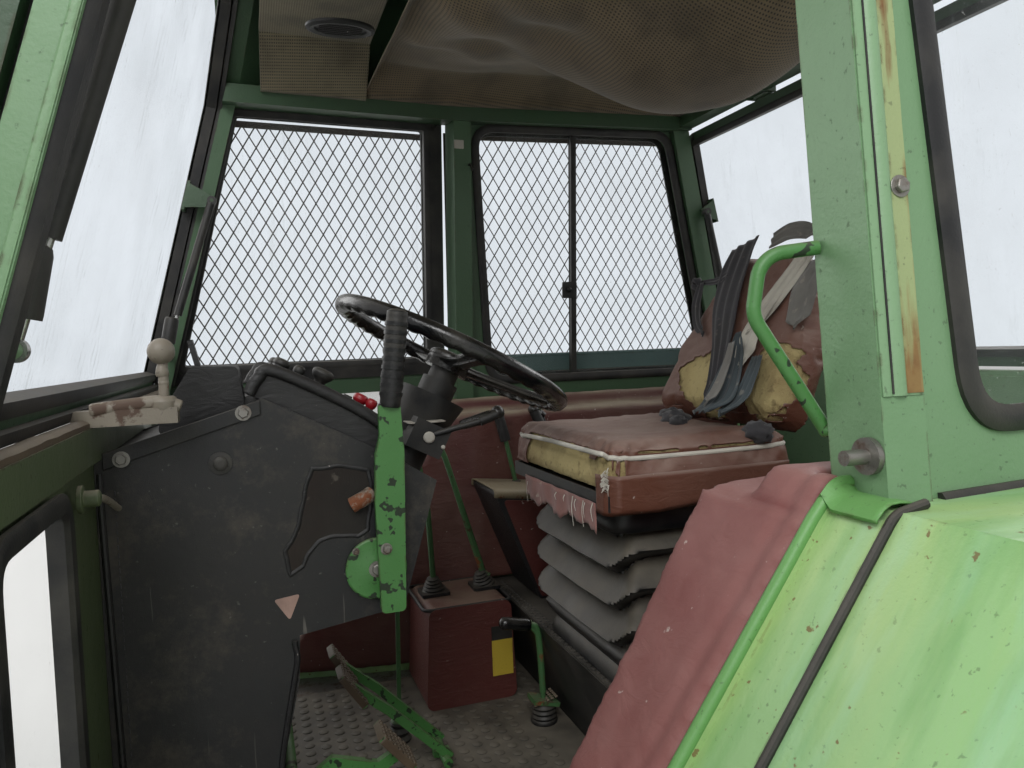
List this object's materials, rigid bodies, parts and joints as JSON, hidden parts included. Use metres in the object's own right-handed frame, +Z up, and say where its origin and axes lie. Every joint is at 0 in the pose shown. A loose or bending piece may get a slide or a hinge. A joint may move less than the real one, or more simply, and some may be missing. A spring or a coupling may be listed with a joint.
{
  "type": "tractor cab",
  "caption": "Four-post tractor cab with roof, fenders, two doors, opening windscreen and rear window, sprung seat, dash, steering wheel, levers and pedals",
  "frame": {"origin": "centre of the four mounting bolts, at the underside of the rubber mounts", "axes": "+X forward towards the bonnet, +Y to the driver's left, +Z up along the mounting bolts"},
  "size_m": [1.9343, 2.4603, 1.803],
  "materials": {
    "green_paint": "worn satin paint",
    "faded_green": "faded chalky paint",
    "dark_green": "satin paint",
    "red_vinyl": "grained vinyl",
    "black_vinyl": "grained vinyl",
    "black_rubber": "dusty rubber",
    "black_paint": "dusty satin paint",
    "wheel_plastic": "worn gloss",
    "bare_steel": "dull",
    "window_glass": "dusty clear",
    "rusty_mesh": "rusty paint",
    "liner_cloth": "perforated vinyl cloth",
    "liner_board": "perforated board"
  },
  "bodies": {
    "cab": {"base_frame": "dark_green", "cab_mounts": "black_rubber", "floor_plate": "bare_steel", "floor_mat": "black_rubber", "seat_platform": "black_paint", "fender_left": "faded_green", "fender_right": "faded_green", "cover_left": "red_vinyl", "cover_right": "red_vinyl", "posts": "green_paint", "roof_frame": "dark_green", "front_wall": "green_paint", "lower_glass": "window_glass", "rear_wall": "green_paint", "quarter_panels": "green_paint", "quarter_glass": "window_glass", "roof_shell": "faded_green", "headliner": "liner_cloth", "ceiling_board": "liner_board", "rear_guard": "rusty_mesh", "dash_body": "black_vinyl", "dash_panels": "black_vinyl", "instrument_panel": "black_vinyl", "sill_lever": "bare_steel", "steering_column": "black_paint", "hand_brake": "green_paint", "gear_console": "red_vinyl", "gear_levers": "black_paint", "hydraulic_console": "black_paint", "pedals": "green_paint", "seat_bellows": "black_rubber", "seat_pan": "black_paint", "seat_cushion": "red_vinyl", "seat_back": "red_vinyl", "grab_handle": "green_paint", "strikers": "bare_steel", "hinge_brackets": "green_paint"},
    "steering": {"steering_wheel": "wheel_plastic"},
    "left_door": {"left_door": "green_paint", "left_door_glass": "window_glass"},
    "right_door": {"right_door": "green_paint", "right_door_glass": "window_glass", "right_guard": "rusty_mesh"},
    "windscreen": {"windscreen": "dark_green", "windscreen_glass": "window_glass"},
    "screen_tubes": {"screen_tubes": "black_paint"},
    "screen_rods": {"screen_rods": "bare_steel"},
    "rear_window": {"rear_window": "dark_green", "rear_window_glass": "window_glass"},
    "rear_tubes": {"rear_tubes": "black_paint"},
    "rear_rods": {"rear_rods": "bare_steel"}
  },
  "joints": [
    {"name": "steering_turn", "type": "hinge", "parent": "cab", "child": "steering", "pos_m": [0.22, 0, 0.95], "axis": [-0.4617, 0, 0.887], "range_deg": [-540, 540]},
    {"name": "left_door_swing", "type": "hinge", "parent": "cab", "child": "left_door", "pos_m": [0.78154, 0.7376, 0.6], "axis": [0, 0, 1], "range_deg": [0, 100]},
    {"name": "right_door_swing", "type": "hinge", "parent": "cab", "child": "right_door", "pos_m": [0.78154, -0.7376, 0.6], "axis": [0, 0, 1], "range_deg": [0, 100]},
    {"name": "windscreen_tilt", "type": "hinge", "parent": "cab", "child": "windscreen", "pos_m": [0.5494, 0, 1.76114], "axis": [0, -1, 0], "range_deg": [0, 25]},
    {"name": "screen_tube_turn", "type": "hinge", "parent": "windscreen", "child": "screen_tubes", "pos_m": [0.61744, 0, 1.32178], "axis": [0, 1, 0], "range_deg": [0, 51.91]},
    {"name": "screen_rod_slide", "type": "slide", "parent": "screen_tubes", "child": "screen_rods", "axis": [0.3126, 0, -0.9499], "range_m": [0, 0.05635]},
    {"name": "rear_window_tilt", "type": "hinge", "parent": "cab", "child": "rear_window", "pos_m": [-0.67476, 0, 1.56301], "axis": [0, 1, 0], "range_deg": [0, 40]},
    {"name": "rear_tube_turn", "type": "hinge", "parent": "rear_window", "child": "rear_tubes", "pos_m": [-0.69876, 0, 1.32458], "axis": [0, -1, 0], "range_deg": [0, 61.83]},
    {"name": "rear_rod_slide", "type": "slide", "parent": "rear_tubes", "child": "rear_rods", "axis": [-0.2186, 0, -0.9758], "range_m": [0, 0.068]}
  ],
  "couplings": [
    {"joint": "screen_tube_turn", "follows": "windscreen_tilt", "ratio": 2.0765},
    {"joint": "screen_rod_slide", "follows": "windscreen_tilt", "m_per_rad": 0.12914},
    {"joint": "rear_tube_turn", "follows": "rear_window_tilt", "ratio": 1.5458},
    {"joint": "rear_rod_slide", "follows": "rear_window_tilt", "m_per_rad": 0.097403}
  ]
}
